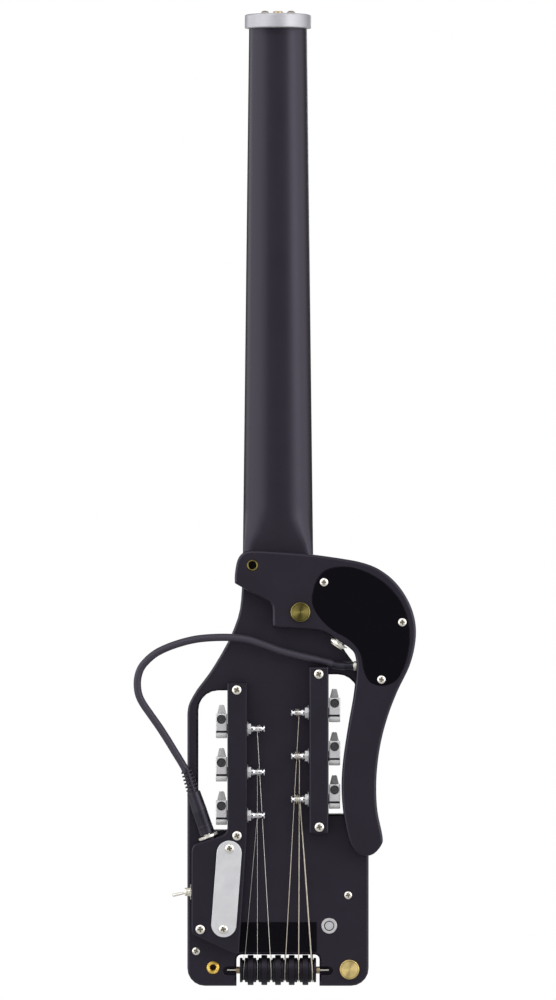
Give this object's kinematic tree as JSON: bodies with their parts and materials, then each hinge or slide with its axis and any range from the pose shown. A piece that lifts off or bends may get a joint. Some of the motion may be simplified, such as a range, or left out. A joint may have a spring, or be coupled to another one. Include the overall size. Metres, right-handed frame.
{
  "type": "travel guitar",
  "caption": "Headless travel guitar: a slab body with windows for its tuners, strings turned round tail rollers, and a lap rest arm clamped to its back.",
  "frame": {"origin": "middle of the head cap's underside, on the neck's axis, where a hanger's yoke takes the neck", "axes": "+Z from the tail along the neck towards the head cap, +Y from the back to the playing side, +X to the right of someone who looks at the back"},
  "size_m": [0.2047, 0.0611, 0.7108],
  "materials": {
    "satin_body": "satin charcoal lacquer over hardwood",
    "satin_plastic": "satin charcoal, fine-grained",
    "gloss_plastic": "polished black",
    "dark_wood": "oiled, nearly black",
    "bone": "polished cream",
    "aluminium": "brushed and clear-anodised",
    "chrome": "bright chrome",
    "tuner_grey": "satin nickel",
    "nickel": "polished nickel",
    "steel": "drawn wire",
    "brass": "turned brass",
    "felt": "fuzzy black felt",
    "cable_rubber": "soft matte black",
    "roller_plastic": "satin black"
  },
  "bodies": {
    "guitar": {"body_and_neck": "satin_body", "fretboard": "dark_wood", "nut": "bone", "head_cap": "aluminium", "bridge": "dark_wood", "saddle": "bone", "pickup": "gloss_plastic", "bridge_bolt": "nickel", "roller_axle": "roller_plastic", "electronics_block": "satin_plastic", "tuner_rail_right": "satin_plastic", "blank_plate": "aluminium", "felt_strip": "felt", "body_jack": "chrome", "toggle_switch": "nickel", "brass_insert": "brass", "patch_cable": "cable_rubber", "cable_plug": "cable_rubber", "string_1": "steel", "string_2": "steel", "string_3": "steel", "string_4": "steel", "string_5": "steel", "string_6": "steel", "tuner_housing_left_1": "chrome", "tuner_housing_left_2": "chrome", "tuner_housing_left_3": "chrome", "tuner_housing_right_1": "chrome", "tuner_housing_right_2": "chrome", "tuner_housing_right_3": "chrome"},
    "arm": {"lap_rest_arm": "satin_plastic", "arm_cover": "gloss_plastic", "arm_bushing": "brass", "arm_output_jack": "nickel", "arm_mini_jack": "nickel", "mini_plug": "cable_rubber"},
    "truss_rod": {"truss_rod": "brass"},
    "toggle_lever": {"toggle_lever": "nickel"},
    "body_thumbscrew": {"body_thumbscrew": "brass"},
    "arm_thumbscrew": {"arm_thumbscrew": "brass"},
    "volume_knob": {"volume_knob": "gloss_plastic"},
    "tone_knob": {"tone_knob": "gloss_plastic"},
    "worm_left_1": {"tuner_button_left_1": "tuner_grey"},
    "post_left_1": {"string_post_left_1": "chrome"},
    "string_roller_1": {"string_roller_1": "roller_plastic"},
    "worm_left_2": {"tuner_button_left_2": "tuner_grey"},
    "post_left_2": {"string_post_left_2": "chrome"},
    "string_roller_2": {"string_roller_2": "roller_plastic"},
    "worm_left_3": {"tuner_button_left_3": "tuner_grey"},
    "post_left_3": {"string_post_left_3": "chrome"},
    "string_roller_3": {"string_roller_3": "roller_plastic"},
    "worm_right_1": {"tuner_button_right_1": "tuner_grey"},
    "post_right_1": {"string_post_right_1": "chrome"},
    "string_roller_6": {"string_roller_6": "roller_plastic"},
    "worm_right_2": {"tuner_button_right_2": "tuner_grey"},
    "post_right_2": {"string_post_right_2": "chrome"},
    "string_roller_5": {"string_roller_5": "roller_plastic"},
    "worm_right_3": {"tuner_button_right_3": "tuner_grey"},
    "post_right_3": {"string_post_right_3": "chrome"},
    "string_roller_4": {"string_roller_4": "roller_plastic"}
  },
  "joints": [
    {"name": "arm_swivel", "type": "hinge", "parent": "guitar", "child": "arm", "pos_m": [0.0163, -0.0223, -0.4261], "axis": [0, -1, 0], "range_deg": [0, 40], "deforming": ["patch_cable"]},
    {"name": "arm_thumbscrew_turn", "type": "hinge", "parent": "guitar", "child": "arm_thumbscrew", "pos_m": [0.0163, -0.0323, -0.4261], "axis": [0, 1, 0], "continuous": true},
    {"name": "body_thumbscrew_turn", "type": "hinge", "parent": "guitar", "child": "body_thumbscrew", "pos_m": [0.0521, -0.0123, -0.6869], "axis": [0, 1, 0], "continuous": true},
    {"name": "truss_rod_turn", "type": "hinge", "parent": "guitar", "child": "truss_rod", "pos_m": [0, 0, 0], "axis": [0, 0, 1], "range_deg": [-180, 180]},
    {"name": "toggle_throw", "type": "hinge", "parent": "guitar", "child": "toggle_lever", "pos_m": [-0.0647, -0.0223, -0.6299], "axis": [0, 1, 0], "range_deg": [0, 24]},
    {"name": "volume_turn", "type": "hinge", "parent": "arm", "child": "volume_knob", "pos_m": [0.05832, -0.0123, -0.4176], "axis": [0, 1, 0], "range_deg": [0, 300]},
    {"name": "tone_turn", "type": "hinge", "parent": "arm", "child": "tone_knob", "pos_m": [0.08022, -0.0123, -0.44381], "axis": [0, 1, 0], "range_deg": [0, 300]},
    {"name": "worm_left_1_turn", "type": "hinge", "parent": "guitar", "child": "worm_left_1", "pos_m": [-0.04115, -0.0223, -0.5671], "axis": [0, 1, 0], "continuous": true},
    {"name": "post_left_1_turn", "type": "hinge", "parent": "guitar", "child": "post_left_1", "pos_m": [-0.04115, -0.0223, -0.5742], "axis": [1, 0, 0], "continuous": true},
    {"name": "string_roller_1_turn", "type": "hinge", "parent": "guitar", "child": "string_roller_1", "pos_m": [-0.025, -0.0056, -0.6878], "axis": [1, 0, 0], "continuous": true},
    {"name": "worm_left_2_turn", "type": "hinge", "parent": "guitar", "child": "worm_left_2", "pos_m": [-0.04115, -0.0223, -0.5356], "axis": [0, 1, 0], "continuous": true},
    {"name": "post_left_2_turn", "type": "hinge", "parent": "guitar", "child": "post_left_2", "pos_m": [-0.04115, -0.0223, -0.5427], "axis": [1, 0, 0], "continuous": true},
    {"name": "string_roller_2_turn", "type": "hinge", "parent": "guitar", "child": "string_roller_2", "pos_m": [-0.015, -0.0056, -0.6878], "axis": [1, 0, 0], "continuous": true},
    {"name": "worm_left_3_turn", "type": "hinge", "parent": "guitar", "child": "worm_left_3", "pos_m": [-0.04115, -0.0223, -0.5041], "axis": [0, 1, 0], "continuous": true},
    {"name": "post_left_3_turn", "type": "hinge", "parent": "guitar", "child": "post_left_3", "pos_m": [-0.04115, -0.0223, -0.5112], "axis": [1, 0, 0], "continuous": true},
    {"name": "string_roller_3_turn", "type": "hinge", "parent": "guitar", "child": "string_roller_3", "pos_m": [-0.005, -0.0056, -0.6878], "axis": [1, 0, 0], "continuous": true},
    {"name": "worm_right_1_turn", "type": "hinge", "parent": "guitar", "child": "worm_right_1", "pos_m": [0.04115, -0.0223, -0.5554], "axis": [0, 1, 0], "continuous": true},
    {"name": "post_right_1_turn", "type": "hinge", "parent": "guitar", "child": "post_right_1", "pos_m": [0.04115, -0.0223, -0.5625], "axis": [1, 0, 0], "continuous": true},
    {"name": "string_roller_6_turn", "type": "hinge", "parent": "guitar", "child": "string_roller_6", "pos_m": [0.025, -0.0056, -0.6878], "axis": [1, 0, 0], "continuous": true},
    {"name": "worm_right_2_turn", "type": "hinge", "parent": "guitar", "child": "worm_right_2", "pos_m": [0.04115, -0.0223, -0.5239], "axis": [0, 1, 0], "continuous": true},
    {"name": "post_right_2_turn", "type": "hinge", "parent": "guitar", "child": "post_right_2", "pos_m": [0.04115, -0.0223, -0.531], "axis": [1, 0, 0], "continuous": true},
    {"name": "string_roller_5_turn", "type": "hinge", "parent": "guitar", "child": "string_roller_5", "pos_m": [0.015, -0.0056, -0.6878], "axis": [1, 0, 0], "continuous": true},
    {"name": "worm_right_3_turn", "type": "hinge", "parent": "guitar", "child": "worm_right_3", "pos_m": [0.04115, -0.0223, -0.4924], "axis": [0, 1, 0], "continuous": true},
    {"name": "post_right_3_turn", "type": "hinge", "parent": "guitar", "child": "post_right_3", "pos_m": [0.04115, -0.0223, -0.4995], "axis": [1, 0, 0], "continuous": true},
    {"name": "string_roller_4_turn", "type": "hinge", "parent": "guitar", "child": "string_roller_4", "pos_m": [0.005, -0.0056, -0.6878], "axis": [1, 0, 0], "continuous": true}
  ],
  "couplings": [
    {"joint": "post_left_1_turn", "follows": "worm_left_1_turn", "ratio": -0.071429},
    {"joint": "string_roller_1_turn", "follows": "worm_left_1_turn", "ratio": 0.022981},
    {"joint": "post_left_2_turn", "follows": "worm_left_2_turn", "ratio": -0.071429},
    {"joint": "string_roller_2_turn", "follows": "worm_left_2_turn", "ratio": 0.023141},
    {"joint": "post_left_3_turn", "follows": "worm_left_3_turn", "ratio": -0.071429},
    {"joint": "string_roller_3_turn", "follows": "worm_left_3_turn", "ratio": 0.023526},
    {"joint": "post_right_1_turn", "follows": "worm_right_1_turn", "ratio": 0.071429},
    {"joint": "string_roller_6_turn", "follows": "worm_right_1_turn", "ratio": -0.025446},
    {"joint": "post_right_2_turn", "follows": "worm_right_2_turn", "ratio": 0.071429},
    {"joint": "string_roller_5_turn", "follows": "worm_right_2_turn", "ratio": -0.024726},
    {"joint": "post_right_3_turn", "follows": "worm_right_3_turn", "ratio": 0.071429},
    {"joint": "string_roller_4_turn", "follows": "worm_right_3_turn", "ratio": -0.024137}
  ]
}
